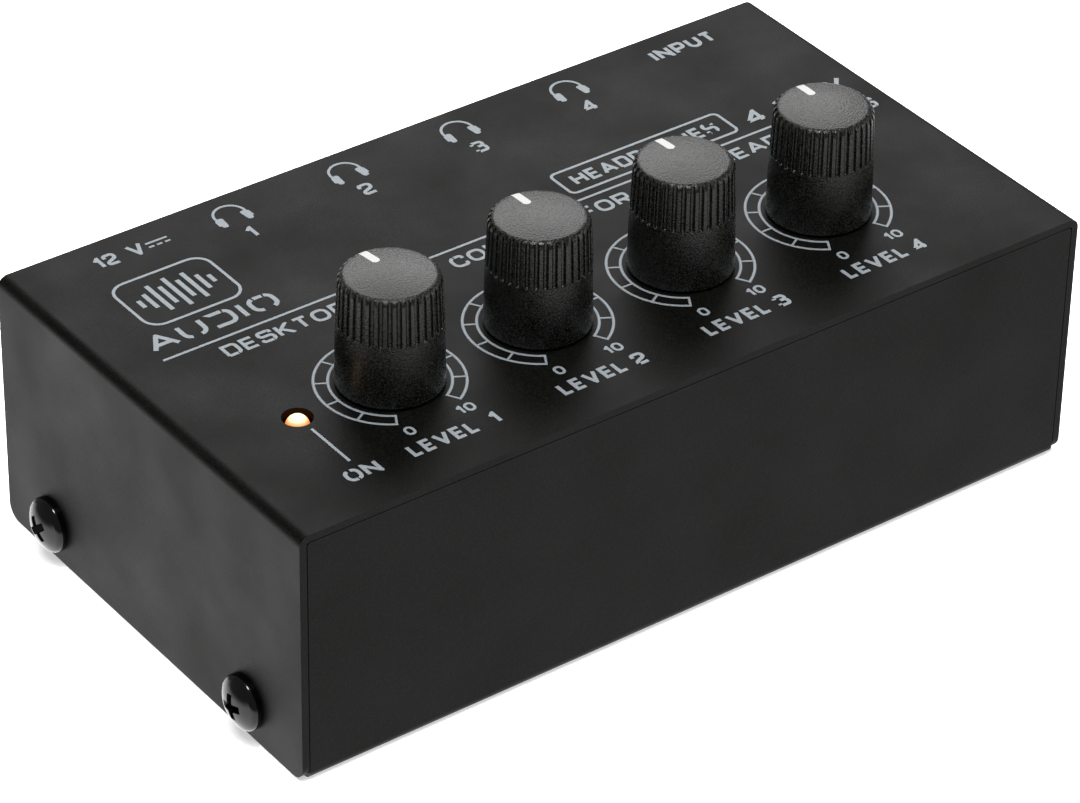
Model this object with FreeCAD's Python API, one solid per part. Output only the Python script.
# Four-channel headphone amplifier in a folded steel case.
#
# Millimetres. +X runs along the case to the right, +Y to the rear, where the sockets are, and +Z up.
# The origin is the middle of the underside, on the surface that the case stands on.
import FreeCAD
import Part

import math
import os

# ---- Case: a cover (top and two end flaps) over a chassis (front, floor and rear) ----
CASE_WIDTH = 117.0
CASE_DEPTH = 65.3
CASE_HEIGHT = 35.7
SHEET = 1.0
BEND_INSIDE = 0.4  # inside radius of every fold
FLAP_CORNER = 2.0  # lower corners of the end flaps
FLAP_LIFT = 0.2  # the flaps end this far above the underside
SEAM_GAP = 0.1  # between the walls' top edges and the cover
END_GAP = 0.12  # between the walls' ends and the flaps
WALL_NICK = 0.3  # corner cut off the walls, under the cover's folds

# ---- Case screws: two in each end flap ----
SCREW_FROM_FRONT = 11.75
SCREW_FROM_REAR = 10.35
SCREW_UP = 5.0
SCREW_SHANK_R = 1.75
SCREW_LENGTH = 6.35
SCREW_TIP = 1.6
SCREW_HEAD_R = 3.65
SCREW_HEAD_HEIGHT = 2.4
SCREW_HEAD_EDGE = 0.5  # the head's straight side, then the size of the rounding above it
SCREW_HEAD_ROUNDING = 1.1
SCREW_HOLE_GAP = 0.25
RECESS_DEPTH = 1.5
RECESS_LEAD = 0.3  # the recess's cutting shape starts this far above the head
RECESS_ARM = 2.1
RECESS_ARM_HALF_WIDTH = 0.6
RECESS_FLOOR_SHARE = 0.4  # how much the cross shrinks on its way down
SCREW_TURNS = (14.0, 40.0, 62.0, 25.0)  # how far each screw happens to be turned, in degrees
TAB_MARGIN = 5.0  # screw tabs run this far past their holes, and as far above them
TAB_RELIEF = 1.0  # slot beside each end of a tab's fold
THREAD_PLAY = 0.02  # smooth holes and shanks stand for threads, this far apart

# ---- Controls on the top panel ----
CONTROLS_FROM_FRONT = 20.0
LED_FROM_LEFT = 13.3
FIRST_KNOB_FROM_LEFT = 26.5
LAST_KNOB_FROM_RIGHT = 25.5
CHANNELS = 4
POINTER_ANGLES = (0.0, -4.5, -3.0, -6.5)  # degrees each pointer is turned left of straight back

# ---- Sockets in the rear wall ----
DC_FROM_LEFT = 16.5
FIRST_JACK_FROM_LEFT = 30.9
LAST_JACK_FROM_RIGHT = 34.1
INPUT_FROM_RIGHT = 15.1
SOCKET_DROP = 6.6  # from the board's underside to the axis of every socket

# ---- Potentiometer ----
SHAFT_R = 3.0
SHAFT_PLAY = 0.05  # running clearance in the bush
SHAFT_FLAT = 1.5  # distance of the flat from the axis
SHAFT_FLAT_LENGTH = 7.0
SHAFT_ABOVE_PANEL = 13.2
BUSH_WALL = 0.45
BUSH_LENGTH = 5.0
BUSH_HOLE_GAP = 0.1
ROTOR_RIM = 1.0  # the rotor's disc stands out this far around the shaft
ROTOR_GAP = 0.3
STUB_R = 1.2  # lower journal, in the wafer
STUB_LENGTH = 0.9
POT_HEIGHT = 6.8
POT_ROOF = 1.3
POT_WALL = 0.6
POT_EXTRA_DEPTH = 1.2
POT_CORNER = 0.5
WAFER_THICK = 1.2
TERMINAL_PITCH = 2.5
TERMINAL_R = 0.4
TERMINAL_INSET = 1.0
WASHER_THICK = 0.5
WASHER_INSET = 0.2  # washer's edge inside the nut's corners
NUT_RIM = 1.5  # from the bush's thread to the nut's flats
NUT_THICK = 2.0

# ---- Knob ----
KNOB_GAP = 0.3
KNOB_NUT_GAP = 0.3
SKIRT_WALL = 0.6
KNOB_EDGE = 0.15
FLUTE_START = 9.0  # above the panel, as are the next two heights
RIM_START = 14.05  # where the side turns over into the top
TOP_CROWN = 15.5
FLUTE_START_TAPER = 0.2  # how much smaller than the skirt's edge the knob is there
RIM_TAPER = 0.42
RIM_ROUNDING = 1.05
FLUTES = 36
FLUTE_FLOOR_R = 0.29
FLUTE_EASE = 0.12  # rounding of the ribs' edges
FLUTE_DEPTH = 0.5
BORE_PLAY = 0.02
KNOB_ROOM = 0.5  # between the bush and the knob's inside
POINTER_WIDTH = 1.1
POINTER_INNER = 2.45
POINTER_DEPTH = 0.9  # below the crown
POINTER_PLAY = 0.01
POINTER_RIM_INSET = 0.05

# ---- Power light ----
LED_R = 1.5
LED_HEIGHT = 5.2
LED_FLANGE_LIP = 0.4
LED_FLANGE_THICK = 1.0
LED_ABOVE_PANEL = 0.25
LED_HOLE_GAP = 0.45
LEG_PITCH = 2.54
LEG_SIDE = 0.5
SPACER_LIP = 0.2

# ---- Circuit board ----
BOARD_THICK = 1.6
BOARD_SIDE_GAP = 5.0
BOARD_FRONT_GAP = 3.0
BOARD_REAR_GAP = 0.5
BOARD_CORNER = 1.0
PIN_HOLE_GAP = 0.12
PIN_TAIL = 1.2  # pins stand this far out of the board

# ---- 6.35 mm jack ----
JACK_BORE_R = 3.25
JACK_MOUTH_CHAMFER = 0.4
JACK_BUSH_WALL = 1.5
JACK_BUSH_OUT = 2.0
JACK_SIDE_WALL = 3.0
JACK_BACK_WALL = 1.2
PLUG_LENGTH = 30.5
PLUG_ROOM = 0.3
JACK_NUT_RIM = 1.75
JACK_NUT_THICK = 1.6
JACK_HOLE_GAP = 0.15
CONTACT_SLOT_WIDTH = 3.2
CONTACT_WIDTH = 2.4
CONTACT_THICK = 0.4
CONTACT_GAP = 0.15
CONTACT_DIP = 0.35
CONTACT_LENGTH = 5.6
CONTACT_SLOT_END_GAP = 0.3
CONTACT_PIN_R = 0.45
CONTACTS_FROM_MOUTH = (9.0, 18.5, 27.0)  # sleeve, ring and tip

# ---- Power inlet ----
DC_WIDTH = 9.0
DC_HEIGHT = 11.0
DC_DEPTH = 13.5
DC_NOSE_R = 4.0
DC_BORE_R = 3.15
DC_BORE_DEPTH = 9.5
DC_PIN_R = 1.05
DC_PIN_SHANK_R = 1.35  # the part of the pin that the moulding grips
DC_PIN_RECESS = 0.6
DC_LEG_R = 0.5
DC_SPRING_THICK = 0.4
DC_SPRING_WIDTH = 2.4
DC_SPRING_LENGTH = 7.0

# ---- Small parts on the board ----
CHIP_LENGTH = 4.9
CHIP_WIDTH = 3.9
CHIP_THICK = 1.5
CHIP_STANDOFF = 0.1
CHIP_LEG_PITCH = 1.27
CHIP_LEG_WIDTH = 0.4
CHIP_LEG_REACH = 1.0
CHIP_LEG_THICK = 0.2
CHIPS_FROM_FRONT = 8.5
CAN_R = 3.15
CAN_HEIGHT = 11.0
CAN_GROOVE = 0.3
CAN_PITCH = 8.0
CANS_BEHIND_CONTROLS = 10.0
BIG_CAN_R = 5.0
BIG_CAN_HEIGHT = 12.5
BIG_CAN_FROM_LEFT = 13.0
BIG_CAN_FROM_REAR = 26.0
CAN_GROOVE_SHARE = 0.16  # how far down the can its rolled groove lies
CAN_LEG_R = 0.3
CHIP_RESISTOR = (3.2, 1.6, 0.6)
RESISTOR_PITCH = 3.0
RESISTORS_PER_CHANNEL = 4
RESISTORS_BEHIND_CONTROLS = 14.0

# ---- Places and sizes worked out from those ----
LEFT = -CASE_WIDTH / 2
RIGHT = CASE_WIDTH / 2
FRONT = -CASE_DEPTH / 2
REAR = CASE_DEPTH / 2
BEND_OUTSIDE = BEND_INSIDE + SHEET
PANEL_UNDERSIDE = CASE_HEIGHT - SHEET
WALL_TOP = PANEL_UNDERSIDE - SEAM_GAP
WALL_END = RIGHT - SHEET - END_GAP

CONTROLS_Y = FRONT + CONTROLS_FROM_FRONT
KNOB_PITCH = (CASE_WIDTH - FIRST_KNOB_FROM_LEFT - LAST_KNOB_FROM_RIGHT) / (CHANNELS - 1)
KNOB_X = [LEFT + FIRST_KNOB_FROM_LEFT + KNOB_PITCH * i for i in range(CHANNELS)]
LED_X = LEFT + LED_FROM_LEFT

BOARD_TOP = PANEL_UNDERSIDE - POT_HEIGHT
BOARD_UNDERSIDE = BOARD_TOP - BOARD_THICK
PIN_END = BOARD_UNDERSIDE - PIN_TAIL
SOCKET_Z = BOARD_UNDERSIDE - SOCKET_DROP
JACK_PITCH = (CASE_WIDTH - FIRST_JACK_FROM_LEFT - LAST_JACK_FROM_RIGHT) / (CHANNELS - 1)
JACK_X = [LEFT + FIRST_JACK_FROM_LEFT + JACK_PITCH * i for i in range(CHANNELS)]
INPUT_X = RIGHT - INPUT_FROM_RIGHT
DC_X = LEFT + DC_FROM_LEFT
REAR_INSIDE = REAR - SHEET

BUSH_R = SHAFT_R + SHAFT_PLAY + BUSH_WALL
BUSH_TOP = PANEL_UNDERSIDE + BUSH_LENGTH
ROTOR_R = SHAFT_R + ROTOR_RIM
POT_CAVITY_R = ROTOR_R + ROTOR_GAP
POT_WIDTH = 2 * (POT_CAVITY_R + POT_WALL)
POT_DEPTH = POT_WIDTH + POT_EXTRA_DEPTH
WAFER_TOP = BOARD_TOP + WAFER_THICK
SHAFT_TOP = CASE_HEIGHT + SHAFT_ABOVE_PANEL
NUT_CORNER_R = (BUSH_R + NUT_RIM) / math.cos(math.pi / 6)
WASHER_R = NUT_CORNER_R - WASHER_INSET

KNOB_CAVITY_R = NUT_CORNER_R + KNOB_NUT_GAP
KNOB_R = KNOB_CAVITY_R + SKIRT_WALL

JACK_BUSH_R = JACK_BORE_R + JACK_BUSH_WALL
JACK_WIDTH = 2 * (JACK_BUSH_R + JACK_SIDE_WALL)
JACK_HEIGHT = 2 * SOCKET_DROP
JACK_MOUTH = REAR + JACK_BUSH_OUT
JACK_FLOOR = JACK_MOUTH - PLUG_LENGTH - PLUG_ROOM
JACK_BACK = JACK_FLOOR - JACK_BACK_WALL
DC_FLOOR = REAR - DC_BORE_DEPTH
DC_BACK = REAR_INSIDE - DC_DEPTH

X_AXIS = FreeCAD.Vector(1, 0, 0)
Y_AXIS = FreeCAD.Vector(0, 1, 0)
Z_AXIS = FreeCAD.Vector(0, 0, 1)
OVERCUT = 1.0  # cutting tools run this far past what they cut
PARALLEL = 0.999  # least cosine between two directions that count as the same
HAIR = 0.01  # smaller than any detail, for telling edges apart by place


def vec(x, y, z):
    return FreeCAD.Vector(x, y, z)


def block(x_range, y_range, z_range):
    """A box between two values along each axis."""
    low = vec(x_range[0], y_range[0], z_range[0])
    sides = [b - a for a, b in (x_range, y_range, z_range)]
    return Part.makeBox(sides[0], sides[1], sides[2], low)


def rod(radius, start, direction, length):
    return Part.makeCylinder(radius, length, start, direction)


def around(centre, half):
    """The range that reaches half to each side of a centre."""
    return (centre - half, centre + half)


def round_edges(shape, radius, direction, chosen):
    """Round the straight edges along a direction whose midpoints pass the test."""
    edges = []
    for edge in shape.Edges:
        run = edge.Vertexes[-1].Point - edge.Vertexes[0].Point
        if run.Length > 0 and abs(run.normalize().dot(direction)) > PARALLEL and chosen(edge.CenterOfMass):
            edges.append(edge)
    return shape.makeFillet(radius, edges)


def section(points_and_arcs):
    """Face in the XZ plane inside a closed outline of (x, z) points.

    An entry is a point, or a pair of points: the arc's middle and its end.
    """
    edges = []
    last = None
    for entry in points_and_arcs:
        is_arc = isinstance(entry[0], tuple)
        end = entry[1] if is_arc else entry
        here = vec(end[0], 0, end[1])
        if last is not None:
            if is_arc:
                middle = vec(entry[0][0], 0, entry[0][1])
                edges.append(Part.Arc(last, middle, here).toShape())
            else:
                edges.append(Part.makeLine(last, here))
        last = here
    first = points_and_arcs[0]
    edges.append(Part.makeLine(last, vec(first[0], 0, first[1])))
    return Part.Face(Part.Wire(edges))


def spin(points_and_arcs, axis_point):
    """Turn an outline of (radius, height) points about a vertical axis."""
    solid = section(points_and_arcs).revolve(vec(0, 0, 0), Z_AXIS, 360)
    solid.translate(axis_point)
    return solid


def rounding(start, end, centre):
    """Entry for an outline: an arc about a centre from one point to another at the same distance."""
    radius = math.hypot(start[0] - centre[0], start[1] - centre[1])
    middle = ((start[0] + end[0]) / 2 - centre[0], (start[1] + end[1]) / 2 - centre[1])
    share = radius / math.hypot(middle[0], middle[1])
    return ((centre[0] + middle[0] * share, centre[1] + middle[1] * share), end)


def crowned_top(edge, round_r, high):
    """Entries for an outline: a rounded edge that runs smoothly into a shallow dome up to the axis."""
    centre = (edge[0] - round_r, edge[1])
    drop = high - edge[1]
    dome_r = (centre[0] ** 2 + drop ** 2 - round_r ** 2) / (2 * (drop - round_r))
    dome_z = high - dome_r
    reach = dome_r / (dome_r - round_r)
    meet = (centre[0] * reach, dome_z + (centre[1] - dome_z) * reach)
    return [rounding(edge, meet, centre), rounding(meet, (0, high), (0, dome_z))]


def hexagon(corner_r, thick, centre, direction):
    """A hexagonal plate that starts at a centre and grows along a direction."""
    corners = []
    for i in range(7):
        angle = math.pi / 3 * i
        corners.append(vec(corner_r * math.cos(angle), corner_r * math.sin(angle), 0))
    plate = Part.Face(Part.makePolygon(corners)).extrude(vec(0, 0, thick))
    plate.Placement = FreeCAD.Placement(centre, FreeCAD.Rotation(Z_AXIS, direction))
    return plate


def screw_places():
    """Each case screw's place on a flap's outer face, and the way out of the case."""
    places = []
    for x, side in ((LEFT, -1), (RIGHT, 1)):
        for y in (FRONT + SCREW_FROM_FRONT, REAR - SCREW_FROM_REAR):
            places.append((vec(x, y, SCREW_UP), vec(side, 0, 0)))
    return places


# ---- Case ----
def top_cover():
    """Top panel with an end flap folded down at each side."""
    y_range = (FRONT, REAR)
    outside = block((LEFT, RIGHT), y_range, (FLAP_LIFT, CASE_HEIGHT))
    outside = round_edges(outside, BEND_OUTSIDE, Y_AXIS, lambda p: p.z > PANEL_UNDERSIDE)
    inside = block(
        (LEFT + SHEET, RIGHT - SHEET),
        (FRONT - OVERCUT, REAR + OVERCUT),
        (FLAP_LIFT - OVERCUT, PANEL_UNDERSIDE),
    )
    inside = round_edges(inside, BEND_INSIDE, Y_AXIS, lambda p: p.z > SHEET)
    cover = outside.cut(inside)
    cover = round_edges(cover, FLAP_CORNER, X_AXIS, lambda p: p.z < FLAP_LIFT + HAIR)
    through = SHEET + 2 * OVERCUT
    low = PANEL_UNDERSIDE - OVERCUT
    holes = [rod(BUSH_R + BUSH_HOLE_GAP, vec(x, CONTROLS_Y, low), Z_AXIS, through) for x in KNOB_X]
    holes.append(rod(LED_R + LED_HOLE_GAP, vec(LED_X, CONTROLS_Y, low), Z_AXIS, through))
    for place, out in screw_places():
        holes.append(rod(SCREW_SHANK_R + SCREW_HOLE_GAP, place + out * OVERCUT, out * -1, through))
    return cover.cut(Part.makeCompound(holes))


def screw_tab(side):
    """Tab folded up from the floor at one end, flat against the inside of the flap, and the slot for it."""
    y_range = (FRONT + SCREW_FROM_FRONT - TAB_MARGIN, REAR - SCREW_FROM_REAR + TAB_MARGIN)
    outer = RIGHT - SHEET
    root = outer - 2 * BEND_OUTSIDE
    outside = block((root, outer), y_range, (0, SCREW_UP + TAB_MARGIN))
    outside = round_edges(outside, BEND_OUTSIDE, Y_AXIS, lambda p: p.z < SHEET and p.x > root + SHEET)
    inside = block(
        (root - OVERCUT, outer - SHEET),
        (y_range[0] - OVERCUT, y_range[1] + OVERCUT),
        (SHEET, SCREW_UP + TAB_MARGIN + OVERCUT),
    )
    inside = round_edges(inside, BEND_INSIDE, Y_AXIS, lambda p: p.z < SCREW_UP and p.x > root)
    tab = outside.cut(inside)
    relief = block(
        (root, outer),
        (y_range[0] - TAB_RELIEF, y_range[1] + TAB_RELIEF),
        (-OVERCUT, SHEET + OVERCUT),
    )
    if side < 0:
        tab = tab.mirror(vec(0, 0, 0), X_AXIS)
        relief = relief.mirror(vec(0, 0, 0), X_AXIS)
    return tab, relief


def split_at_folds(sheet):
    """The same sheet as three solids that touch: the front wall, the floor and the rear wall.

    Each is a nearly flat shape, so its outline stays true when it is worked out on its own.
    """
    strips = []
    for y_range in (
        (FRONT, FRONT + BEND_OUTSIDE),
        (FRONT + BEND_OUTSIDE, REAR - BEND_OUTSIDE),
        (REAR - BEND_OUTSIDE, REAR),
    ):
        strips.append(sheet.common(block((LEFT, RIGHT), y_range, (0, CASE_HEIGHT))))
    return Part.makeCompound(strips)


def base_chassis():
    """Front wall, floor and rear wall in one folded sheet, with a screw tab at each end."""
    x_range = (-WALL_END, WALL_END)
    outside = block(x_range, (FRONT, REAR), (0, WALL_TOP))
    outside = round_edges(outside, BEND_OUTSIDE, X_AXIS, lambda p: p.z < SHEET)
    inside = block(
        (-WALL_END - OVERCUT, WALL_END + OVERCUT),
        (FRONT + SHEET, REAR - SHEET),
        (SHEET, WALL_TOP + OVERCUT),
    )
    inside = round_edges(inside, BEND_INSIDE, X_AXIS, lambda p: p.z < SHEET + OVERCUT)
    chassis = outside.cut(inside)
    for side in (-1, 1):
        tab, relief = screw_tab(side)
        chassis = chassis.cut(relief).fuse(tab)
    through = SHEET + 2 * OVERCUT
    holes = []
    start_y = REAR_INSIDE - OVERCUT
    for x in JACK_X + [INPUT_X]:
        holes.append(rod(JACK_BUSH_R + JACK_HOLE_GAP, vec(x, start_y, SOCKET_Z), Y_AXIS, through))
    holes.append(rod(DC_NOSE_R + JACK_HOLE_GAP, vec(DC_X, start_y, SOCKET_Z), Y_AXIS, through))
    for place, out in screw_places():
        inner = place - out * (SHEET - OVERCUT)
        holes.append(rod(SCREW_SHANK_R + THREAD_PLAY, inner, out * -1, through))
    for side in (-1, 1):
        nick = Part.Face(Part.makePolygon([
            vec(side * (WALL_END - WALL_NICK), 0, WALL_TOP),
            vec(side * WALL_END, 0, WALL_TOP),
            vec(side * WALL_END, 0, WALL_TOP - WALL_NICK),
            vec(side * (WALL_END - WALL_NICK), 0, WALL_TOP),
        ]))
        nick.translate(vec(0, FRONT - OVERCUT, 0))
        holes.append(nick.extrude(vec(0, CASE_DEPTH + 2 * OVERCUT, 0)))
    return split_at_folds(chassis.cut(Part.makeCompound(holes)).removeSplitter())


def cross_recess():
    """Tapered cross that closes downwards, to sink into a head whose crown is at height 0."""
    outlines = []
    for share, depth in ((1.0, RECESS_LEAD), (RECESS_FLOOR_SHARE, -RECESS_DEPTH)):
        arm = RECESS_ARM * share
        half = RECESS_ARM_HALF_WIDTH * share
        quarter = [(arm, -half), (arm, half), (half, half)]
        points = []
        for turn in range(4):
            for x, y in quarter:
                angle = math.pi / 2 * turn
                points.append(vec(
                    x * math.cos(angle) - y * math.sin(angle),
                    x * math.sin(angle) + y * math.cos(angle),
                    depth,
                ))
        outlines.append(Part.makePolygon(points + [points[0]]))
    return Part.makeLoft(outlines, True, True)


def case_screws():
    """Pan-head screws with a cross recess, driven through the flaps into the tabs."""
    edge = (SCREW_HEAD_R, SCREW_HEAD_EDGE)
    profile = [
        (0, -SCREW_LENGTH),
        (SCREW_SHANK_R, -SCREW_LENGTH + SCREW_TIP),
        (SCREW_SHANK_R, 0),
        (SCREW_HEAD_R, 0),
        edge,
    ] + crowned_top(edge, SCREW_HEAD_ROUNDING, SCREW_HEAD_HEIGHT)
    recess = cross_recess()
    recess.translate(vec(0, 0, SCREW_HEAD_HEIGHT))
    one = spin(profile, vec(0, 0, 0)).cut(recess)
    screws = []
    for (place, out), turn in zip(screw_places(), SCREW_TURNS):
        screw = one.copy()
        screw.rotate(vec(0, 0, 0), Z_AXIS, turn)
        screw.Placement = FreeCAD.Placement(place, FreeCAD.Rotation(Z_AXIS, out)).multiply(screw.Placement)
        screws.append(screw)
    return Part.makeCompound(screws)


# ---- Level controls ----
def pot_housing(x):
    """Shell with the threaded bush that holds it in the panel. It is open below."""
    y = CONTROLS_Y
    shell = block(around(x, POT_WIDTH / 2), around(y, POT_DEPTH / 2), (WAFER_TOP, PANEL_UNDERSIDE))
    shell = round_edges(shell, POT_CORNER, Z_AXIS, lambda p: True)
    bush = rod(BUSH_R, vec(x, y, PANEL_UNDERSIDE), Z_AXIS, BUSH_LENGTH)
    cavity_height = PANEL_UNDERSIDE - POT_ROOF - WAFER_TOP
    cavity = rod(POT_CAVITY_R, vec(x, y, WAFER_TOP - OVERCUT), Z_AXIS, cavity_height + OVERCUT)
    bore = rod(SHAFT_R + SHAFT_PLAY, vec(x, y, WAFER_TOP), Z_AXIS, BUSH_TOP - WAFER_TOP + OVERCUT)
    return shell.fuse(bush).cut(cavity).cut(bore)


def pot_wafer(x):
    """Resistance wafer that closes the housing and carries the shaft's lower end."""
    y = CONTROLS_Y
    wafer = block(around(x, POT_WIDTH / 2), around(y, POT_DEPTH / 2), (BOARD_TOP, WAFER_TOP))
    wafer = round_edges(wafer, POT_CORNER, Z_AXIS, lambda p: True)
    hole = rod(STUB_R + SHAFT_PLAY, vec(x, y, BOARD_TOP - OVERCUT), Z_AXIS, WAFER_THICK + 2 * OVERCUT)
    return wafer.cut(hole)


def terminal_places(x):
    y = CONTROLS_Y - POT_DEPTH / 2 + TERMINAL_INSET
    return [(x + TERMINAL_PITCH * i, y) for i in (-1, 0, 1)]


def pot_terminals():
    pins = []
    for x in KNOB_X:
        for pin_x, pin_y in terminal_places(x):
            pins.append(rod(TERMINAL_R, vec(pin_x, pin_y, PIN_END), Z_AXIS, BOARD_TOP - PIN_END))
    return Part.makeCompound(pins)


def flat_side_cut(x, y, z_range, flat):
    """Material beyond the shaft's flat, which faces away from the pointer."""
    return block((x - 2 * SHAFT_R, x + 2 * SHAFT_R), (y - 2 * SHAFT_R, y - flat), z_range)


def pot_shaft(x, angle):
    """Shaft with a flat at its top, the rotor's disc and a lower journal."""
    y = CONTROLS_Y
    disc_low = WAFER_TOP + ROTOR_GAP
    disc_high = PANEL_UNDERSIDE - POT_ROOF - ROTOR_GAP
    stub = rod(STUB_R, vec(x, y, WAFER_TOP - STUB_LENGTH), Z_AXIS, STUB_LENGTH + ROTOR_GAP)
    disc = rod(ROTOR_R, vec(x, y, disc_low), Z_AXIS, disc_high - disc_low)
    shaft = rod(SHAFT_R, vec(x, y, disc_low), Z_AXIS, SHAFT_TOP - disc_low)
    flat = flat_side_cut(x, y, (SHAFT_TOP - SHAFT_FLAT_LENGTH, SHAFT_TOP + OVERCUT), SHAFT_FLAT)
    whole = shaft.fuse([disc, stub]).cut(flat).removeSplitter()
    whole.rotate(vec(x, y, 0), Z_AXIS, angle)
    return whole


def pot_washers():
    washers = []
    for x in KNOB_X:
        at = vec(x, CONTROLS_Y, CASE_HEIGHT)
        hole = rod(BUSH_R + BUSH_HOLE_GAP, at, Z_AXIS, WASHER_THICK)
        washers.append(rod(WASHER_R, at, Z_AXIS, WASHER_THICK).cut(hole))
    return Part.makeCompound(washers)


def pot_nuts():
    nuts = []
    for x in KNOB_X:
        at = vec(x, CONTROLS_Y, CASE_HEIGHT + WASHER_THICK)
        hole = rod(BUSH_R + THREAD_PLAY, at, Z_AXIS, NUT_THICK)
        nuts.append(hexagon(NUT_CORNER_R, NUT_THICK, at, Z_AXIS).cut(hole))
    return Part.makeCompound(nuts)


# ---- Knobs, built about the origin with the pointer to the rear and the panel at height 0 ----
def knob_blank():
    """Knob without flutes or hollows: tapered skirt, rounded rim, gently crowned top."""
    rim = (KNOB_R - RIM_TAPER, RIM_START)
    return spin([
        (0, KNOB_GAP),
        (KNOB_R - KNOB_EDGE, KNOB_GAP),
        (KNOB_R, KNOB_GAP + KNOB_EDGE),
        (KNOB_R - FLUTE_START_TAPER, FLUTE_START),
        rim,
    ] + crowned_top(rim, RIM_ROUNDING, TOP_CROWN), vec(0, 0, 0))


def flute_tool():
    """One groove's cutting shape: a section drawn out along it, and turned for its round lower end."""
    wall = FLUTE_FLOOR_R
    mouth = wall + FLUTE_EASE
    floor_end = (wall, FLUTE_FLOOR_R - FLUTE_DEPTH)
    ease_start = (wall, -FLUTE_EASE)
    half = [
        (0, -FLUTE_DEPTH),
        rounding((0, -FLUTE_DEPTH), floor_end, (0, FLUTE_FLOOR_R - FLUTE_DEPTH)),
        ease_start,
        rounding(ease_start, (mouth, 0), (mouth, -FLUTE_EASE)),
        (mouth, OVERCUT),
        (0, OVERCUT),
    ]
    side = section(half).extrude(vec(0, TOP_CROWN - FLUTE_START + OVERCUT, 0))
    return side.fuse([side.mirror(vec(0, 0, 0), X_AXIS), spin(half, vec(0, 0, 0))]).removeSplitter()


def flute_tools():
    """Grooves all round the knob, each laid along its taper."""
    low = vec(0, KNOB_R - FLUTE_START_TAPER, FLUTE_START)
    along = (vec(0, KNOB_R - RIM_TAPER, RIM_START) - low).normalize()
    outward = along.cross(X_AXIS)
    laid = flute_tool()
    laid.Placement = FreeCAD.Placement(low, FreeCAD.Rotation(X_AXIS * -1, along, outward, "YZX"))
    tools = []
    for i in range(FLUTES):
        flute = laid.copy()
        flute.rotate(vec(0, 0, 0), Z_AXIS, 360.0 / FLUTES * (i + 0.5))
        tools.append(flute)
    return Part.makeCompound(tools)


def pointer_slot(play):
    """Straight slot in the top with a round inner end, open at the rim."""
    half = POINTER_WIDTH / 2 - play
    inner = POINTER_INNER + POINTER_WIDTH / 2
    z_range = (TOP_CROWN - POINTER_DEPTH, TOP_CROWN + OVERCUT)
    straight = block((-half, half), (inner, KNOB_R + OVERCUT), z_range)
    end = rod(half, vec(0, inner, z_range[0]), Z_AXIS, z_range[1] - z_range[0])
    return straight.fuse(end).removeSplitter()


def knob_shape(fluted):
    """Fluted blank with a hollow skirt over the nut, a bore for the flatted shaft and a pointer slot."""
    cavity_top = BUSH_TOP - CASE_HEIGHT + KNOB_ROOM
    cavity = rod(KNOB_CAVITY_R, vec(0, 0, 0), Z_AXIS, cavity_top)
    bore = rod(SHAFT_R + BORE_PLAY, vec(0, 0, 0), Z_AXIS, SHAFT_ABOVE_PANEL)
    flat_low = max(cavity_top, SHAFT_ABOVE_PANEL - SHAFT_FLAT_LENGTH)
    flat = flat_side_cut(0, 0, (flat_low, SHAFT_ABOVE_PANEL + OVERCUT), SHAFT_FLAT + BORE_PLAY)
    return fluted.cut(cavity).cut(bore.cut(flat)).cut(pointer_slot(0))


def pointer_shape(blank):
    """White inlay that fills the slot, flush with the crowned top, and closes the flutes at its outer end."""
    limit = rod(KNOB_R - RIM_TAPER - POINTER_RIM_INSET, vec(0, 0, 0), Z_AXIS, TOP_CROWN + OVERCUT)
    return pointer_slot(POINTER_PLAY).common(blank).common(limit)


def on_panel(shape, x, angle):
    """A copy of a knob's piece, turned by an angle and set over a control."""
    piece = shape.copy()
    piece.rotate(vec(0, 0, 0), Z_AXIS, angle)
    piece.translate(vec(x, CONTROLS_Y, CASE_HEIGHT))
    return piece


# ---- Power light ----
def led_foot():
    """Height of the lens's lower face."""
    return CASE_HEIGHT + LED_ABOVE_PANEL - LED_HEIGHT


def led_lens():
    """Round-topped lens with a flange at its foot."""
    foot = led_foot()
    apex = foot + LED_HEIGHT
    diagonal = LED_R * math.sqrt(0.5)
    profile = [
        (0, foot),
        (LED_R + LED_FLANGE_LIP, foot),
        (LED_R + LED_FLANGE_LIP, foot + LED_FLANGE_THICK),
        (LED_R, foot + LED_FLANGE_THICK),
        (LED_R, apex - LED_R),
        ((diagonal, apex - LED_R + diagonal), (0, apex)),
    ]
    return spin(profile, vec(LED_X, CONTROLS_Y, 0))


def led_leg_places():
    return [(LED_X + LEG_PITCH / 2 * side, CONTROLS_Y) for side in (-1, 1)]


def led_legs():
    legs = []
    for x, y in led_leg_places():
        legs.append(block(around(x, LEG_SIDE / 2), around(y, LEG_SIDE / 2), (PIN_END, led_foot())))
    return Part.makeCompound(legs)


def led_spacer():
    """Stand-off that holds the light at its height above the board."""
    height = led_foot() - BOARD_TOP
    leg_hole_r = LEG_SIDE / 2 * math.sqrt(2) + PIN_HOLE_GAP
    spacer = rod(LED_R + LED_FLANGE_LIP + SPACER_LIP, vec(LED_X, CONTROLS_Y, BOARD_TOP), Z_AXIS, height)
    for x, y in led_leg_places():
        spacer = spacer.cut(rod(leg_hole_r, vec(x, y, BOARD_TOP), Z_AXIS, height))
    return spacer


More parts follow.
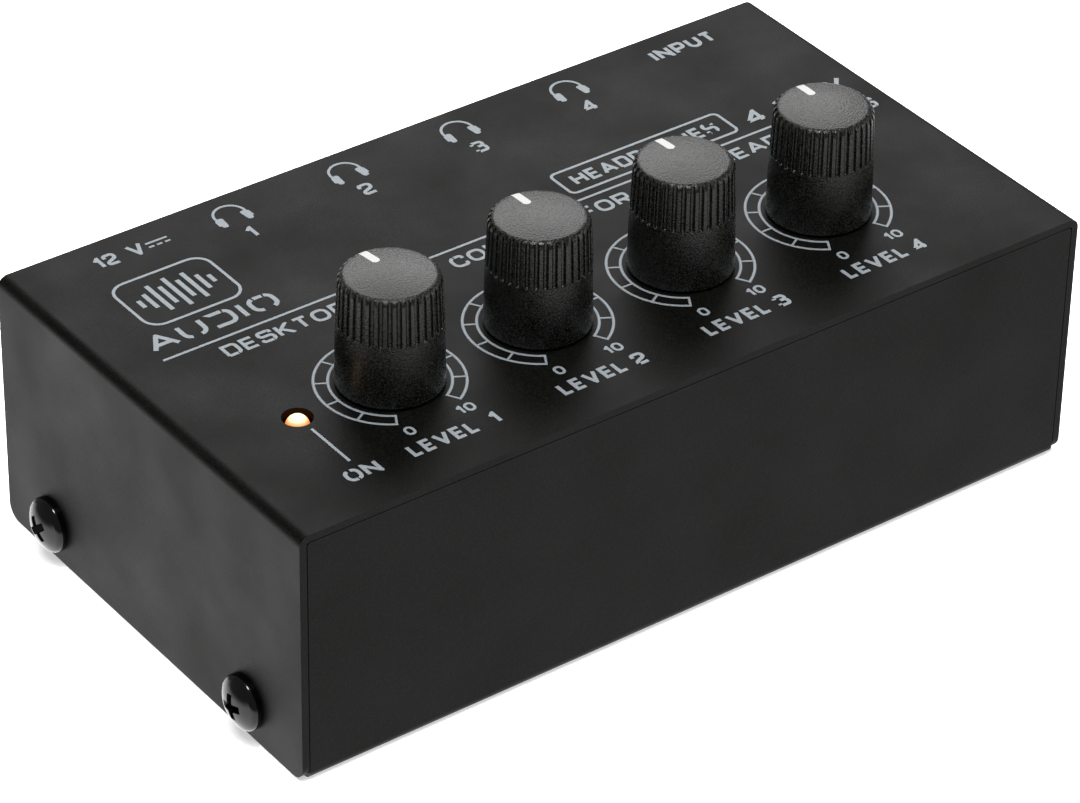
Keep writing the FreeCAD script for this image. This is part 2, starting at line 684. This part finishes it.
# ---- Jacks ----
def jack_body(x):
    """Moulded body hung under the board, with a threaded bush through the rear wall."""
    body = block(around(x, JACK_WIDTH / 2), (JACK_BACK, REAR_INSIDE), around(SOCKET_Z, JACK_HEIGHT / 2))
    bush = rod(JACK_BUSH_R, vec(x, REAR_INSIDE, SOCKET_Z), Y_AXIS, JACK_MOUTH - REAR_INSIDE)
    bore = rod(JACK_BORE_R, vec(x, JACK_FLOOR, SOCKET_Z), Y_AXIS, JACK_MOUTH - JACK_FLOOR + OVERCUT)
    chamfer = Part.makeCone(
        JACK_BORE_R,
        JACK_BORE_R + JACK_MOUTH_CHAMFER,
        JACK_MOUTH_CHAMFER,
        vec(x, JACK_MOUTH - JACK_MOUTH_CHAMFER, SOCKET_Z),
        Y_AXIS,
    )
    slots = []
    for distance in CONTACTS_FROM_MOUTH:
        half_run = CONTACT_LENGTH / 2 + CONTACT_SLOT_END_GAP
        slots.append(block(
            around(x, CONTACT_SLOT_WIDTH / 2),
            around(JACK_MOUTH - distance, half_run),
            (SOCKET_Z, BOARD_UNDERSIDE + OVERCUT),
        ))
    return body.fuse(bush).cut(bore).cut(chamfer).cut(Part.makeCompound(slots))


def contact_pin_y(distance):
    """Contact pins stand at the end of the strip nearer the jack's back."""
    return JACK_MOUTH - distance - CONTACT_LENGTH / 2 + CONTACT_PIN_R


def jack_contact(x, distance):
    """Spring strip dished towards the plug, with a pin up through the board."""
    low = SOCKET_Z + JACK_BORE_R + CONTACT_GAP
    middle_y = JACK_MOUTH - distance
    half = CONTACT_LENGTH / 2
    lower = [
        vec(0, middle_y - half, low),
        vec(0, middle_y, low - CONTACT_DIP),
        vec(0, middle_y + half, low),
    ]
    upper = [p + vec(0, 0, CONTACT_THICK) for p in lower]
    edges = [
        Part.Arc(lower[0], lower[1], lower[2]).toShape(),
        Part.makeLine(lower[2], upper[2]),
        Part.Arc(upper[2], upper[1], upper[0]).toShape(),
        Part.makeLine(upper[0], lower[0]),
    ]
    strip = Part.Face(Part.Wire(edges)).extrude(vec(CONTACT_WIDTH, 0, 0))
    strip.translate(vec(x - CONTACT_WIDTH / 2, 0, 0))
    pin_low = low + CONTACT_THICK / 2
    pin_top = BOARD_TOP + PIN_TAIL
    pin = rod(CONTACT_PIN_R, vec(x, contact_pin_y(distance), pin_low), Z_AXIS, pin_top - pin_low)
    return strip.fuse(pin)


def jack_contacts(x):
    return Part.makeCompound([jack_contact(x, distance) for distance in CONTACTS_FROM_MOUTH])


def jack_nuts():
    nuts = []
    corner_r = (JACK_BUSH_R + JACK_NUT_RIM) / math.cos(math.pi / 6)
    for x in JACK_X + [INPUT_X]:
        at = vec(x, REAR, SOCKET_Z)
        hole = rod(JACK_BUSH_R + THREAD_PLAY, at, Y_AXIS, JACK_NUT_THICK)
        nuts.append(hexagon(corner_r, JACK_NUT_THICK, at, Y_AXIS).cut(hole))
    return Part.makeCompound(nuts)


# ---- Power inlet ----
def dc_spring_range():
    """Where the inlet's spring lies along the socket."""
    return (DC_FLOOR, DC_FLOOR + DC_SPRING_LENGTH)


def dc_jack():
    """Moulded inlet under the board, its round nose set into the rear wall."""
    low = BOARD_UNDERSIDE - DC_HEIGHT
    body = block(around(DC_X, DC_WIDTH / 2), (DC_BACK, REAR_INSIDE), (low, BOARD_UNDERSIDE))
    nose = rod(DC_NOSE_R, vec(DC_X, REAR_INSIDE, SOCKET_Z), Y_AXIS, SHEET)
    bore = rod(DC_BORE_R, vec(DC_X, DC_FLOOR, SOCKET_Z), Y_AXIS, DC_BORE_DEPTH + OVERCUT)
    pin_hole = rod(DC_PIN_SHANK_R + BORE_PLAY, vec(DC_X, DC_BACK - OVERCUT, SOCKET_Z), Y_AXIS, DC_DEPTH)
    spring_start, spring_end = dc_spring_range()
    spring_slot = block(
        around(DC_X, DC_SPRING_WIDTH / 2 + CONTACT_SLOT_END_GAP),
        (spring_start, spring_end + CONTACT_SLOT_END_GAP),
        (SOCKET_Z, BOARD_UNDERSIDE + OVERCUT),
    )
    return body.fuse(nose).cut(bore).cut(pin_hole).cut(spring_slot)


def dc_jack_pin():
    """Centre pin, with a head behind the moulding and a leg up through the board."""
    tip = REAR - DC_PIN_RECESS
    head_back = DC_BACK - DC_SPRING_THICK * 2
    shank = rod(DC_PIN_SHANK_R, vec(DC_X, DC_BACK, SOCKET_Z), Y_AXIS, DC_FLOOR - DC_BACK)
    pin = rod(DC_PIN_R, vec(DC_X, DC_BACK, SOCKET_Z), Y_AXIS, tip - DC_BACK - DC_PIN_R)
    end = Part.makeSphere(DC_PIN_R, vec(DC_X, tip - DC_PIN_R, SOCKET_Z))
    head = rod(DC_PIN_R * 2, vec(DC_X, head_back, SOCKET_Z), Y_AXIS, DC_BACK - head_back)
    leg = rod(DC_LEG_R, vec(DC_X, head_back, SOCKET_Z), Z_AXIS, BOARD_TOP + PIN_TAIL - SOCKET_Z)
    return pin.fuse([shank, end, head, leg]).removeSplitter()


def dc_leg_places():
    """Where the pin's leg and the spring's leg pass through the board."""
    return [(DC_X, DC_BACK - DC_SPRING_THICK * 2), (DC_X, dc_spring_range()[1] - DC_LEG_R)]


def dc_jack_spring():
    """Side contact that presses on the plug's sleeve."""
    spring_start, spring_end = dc_spring_range()
    low = SOCKET_Z + DC_BORE_R + CONTACT_GAP / 2
    strip = block(around(DC_X, DC_SPRING_WIDTH / 2), (spring_start, spring_end), (low, low + DC_SPRING_THICK))
    leg_low = low + DC_SPRING_THICK / 2
    leg = rod(DC_LEG_R, vec(DC_X, spring_end - DC_LEG_R, leg_low), Z_AXIS, BOARD_TOP + PIN_TAIL - leg_low)
    return strip.fuse(leg)


# ---- Circuit board and the parts on it ----
def can_places():
    """Two output capacitors for each channel, behind its control."""
    y = CONTROLS_Y + CANS_BEHIND_CONTROLS
    return [(x + CAN_PITCH / 2 * side, y) for x in KNOB_X for side in (-1, 1)]


def capacitor(radius, height, x, y):
    """Can hung under the board, with the rolled groove near its rubber end and two legs."""
    top = BOARD_UNDERSIDE
    groove_at = top - height * CAN_GROOVE_SHARE
    profile = [
        (0, top),
        (radius, top),
        (radius, groove_at + 2 * CAN_GROOVE),
        ((radius - CAN_GROOVE, groove_at + CAN_GROOVE), (radius, groove_at)),
        (radius, top - height + CAN_GROOVE),
        (radius - CAN_GROOVE, top - height),
        (0, top - height),
    ]
    can = spin(profile, vec(x, y, 0))
    for leg_x in around(x, radius / 2):
        can = can.fuse(rod(CAN_LEG_R, vec(leg_x, y, top), Z_AXIS, BOARD_THICK + PIN_TAIL))
    return can


def can_leg_holes(radius, x, y):
    return [(leg_x, y, CAN_LEG_R) for leg_x in around(x, radius / 2)]


def big_can_place():
    return (LEFT + BIG_CAN_FROM_LEFT, REAR - BIG_CAN_FROM_REAR)


def output_capacitors():
    return Part.makeCompound([capacitor(CAN_R, CAN_HEIGHT, x, y) for x, y in can_places()])


def supply_capacitor():
    x, y = big_can_place()
    return capacitor(BIG_CAN_R, BIG_CAN_HEIGHT, x, y)


def amplifier_chip(x, y):
    """Eight-leg chip lying under the board."""
    top = BOARD_UNDERSIDE - CHIP_STANDOFF
    body = block(around(x, CHIP_LENGTH / 2), around(y, CHIP_WIDTH / 2), (top - CHIP_THICK, top))
    legs = []
    for i in range(4):
        leg_x = x + CHIP_LEG_PITCH * (i - 1.5)
        for side in (-1, 1):
            root = y + side * CHIP_WIDTH / 2
            end = root + side * CHIP_LEG_REACH
            y_range = (min(root, end), max(root, end))
            legs.append(block(
                around(leg_x, CHIP_LEG_WIDTH / 2),
                y_range,
                (BOARD_UNDERSIDE - CHIP_STANDOFF - CHIP_LEG_THICK, BOARD_UNDERSIDE),
            ))
    return body.fuse(legs).removeSplitter()


def amplifier_chips():
    y = FRONT + CHIPS_FROM_FRONT
    return Part.makeCompound([amplifier_chip(x, y) for x in KNOB_X])


def chip_resistors():
    """Small resistors in a row on top of the board, behind each control."""
    length, width, thick = CHIP_RESISTOR
    pieces = []
    y = CONTROLS_Y + RESISTORS_BEHIND_CONTROLS
    for x in KNOB_X:
        for i in range(RESISTORS_PER_CHANNEL):
            centre = x + RESISTOR_PITCH * (i - (RESISTORS_PER_CHANNEL - 1) / 2)
            x_range = around(centre, width / 2)
            pieces.append(block(x_range, around(y, length / 2), (BOARD_TOP, BOARD_TOP + thick)))
    return Part.makeCompound(pieces)


def circuit_board():
    """Board with a hole for every pin that passes through it."""
    half_width = RIGHT - SHEET - BOARD_SIDE_GAP
    board = block(
        (-half_width, half_width),
        (FRONT + SHEET + BOARD_FRONT_GAP, REAR_INSIDE - BOARD_REAR_GAP),
        (BOARD_UNDERSIDE, BOARD_TOP),
    )
    board = round_edges(board, BOARD_CORNER, Z_AXIS, lambda p: True)
    pins = [(x, y, LEG_SIDE / 2 * math.sqrt(2)) for x, y in led_leg_places()]
    pins += [(x, y, DC_LEG_R) for x, y in dc_leg_places()]
    for x in KNOB_X:
        pins += [(pin_x, pin_y, TERMINAL_R) for pin_x, pin_y in terminal_places(x)]
    for x in JACK_X + [INPUT_X]:
        pins += [(x, contact_pin_y(distance), CONTACT_PIN_R) for distance in CONTACTS_FROM_MOUTH]
    for x, y in can_places():
        pins += can_leg_holes(CAN_R, x, y)
    pins += can_leg_holes(BIG_CAN_R, *big_can_place())
    low = BOARD_UNDERSIDE - OVERCUT
    through = BOARD_THICK + 2 * OVERCUT
    holes = [rod(radius + PIN_HOLE_GAP, vec(x, y, low), Z_AXIS, through) for x, y, radius in pins]
    return board.cut(Part.makeCompound(holes))


def all_nodes():
    """Every sub-part by its node name."""
    nodes = {
        "top_cover": top_cover(),
        "base_chassis": base_chassis(),
        "case_screws": case_screws(),
        "circuit_board": circuit_board(),
        "pot_terminals": pot_terminals(),
        "pot_washers": pot_washers(),
        "pot_nuts": pot_nuts(),
        "led_lens": led_lens(),
        "led_legs": led_legs(),
        "led_spacer": led_spacer(),
        "input_jack": jack_body(INPUT_X),
        "input_jack_contacts": jack_contacts(INPUT_X),
        "jack_nuts": jack_nuts(),
        "dc_jack": dc_jack(),
        "dc_jack_pin": dc_jack_pin(),
        "dc_jack_spring": dc_jack_spring(),
        "amplifier_chips": amplifier_chips(),
        "output_capacitors": output_capacitors(),
        "supply_capacitor": supply_capacitor(),
        "chip_resistors": chip_resistors(),
    }
    blank = knob_blank()
    knob = knob_shape(blank.cut(flute_tools()))
    pointer = pointer_shape(blank)
    for i in range(CHANNELS):
        number = i + 1
        x = KNOB_X[i]
        angle = POINTER_ANGLES[i]
        nodes[f"knob_{number}"] = on_panel(knob, x, angle)
        nodes[f"knob_pointer_{number}"] = on_panel(pointer, x, angle)
        nodes[f"pot_shaft_{number}"] = pot_shaft(x, angle)
        nodes[f"pot_housing_{number}"] = pot_housing(x)
        nodes[f"pot_wafer_{number}"] = pot_wafer(x)
        nodes[f"headphone_jack_{number}"] = jack_body(JACK_X[i])
        nodes[f"headphone_jack_contacts_{number}"] = jack_contacts(JACK_X[i])
    return nodes


def main():
    os.makedirs("parts", exist_ok=True)
    for name, shape in all_nodes().items():
        if not shape.isValid():
            raise ValueError(f"{name} is not a valid shape")
        shape.exportStep(f"parts/{name}.step")
        print(f"{name}: {len(shape.Solids)} solid(s), {shape.Volume:.1f} mm3")


main()
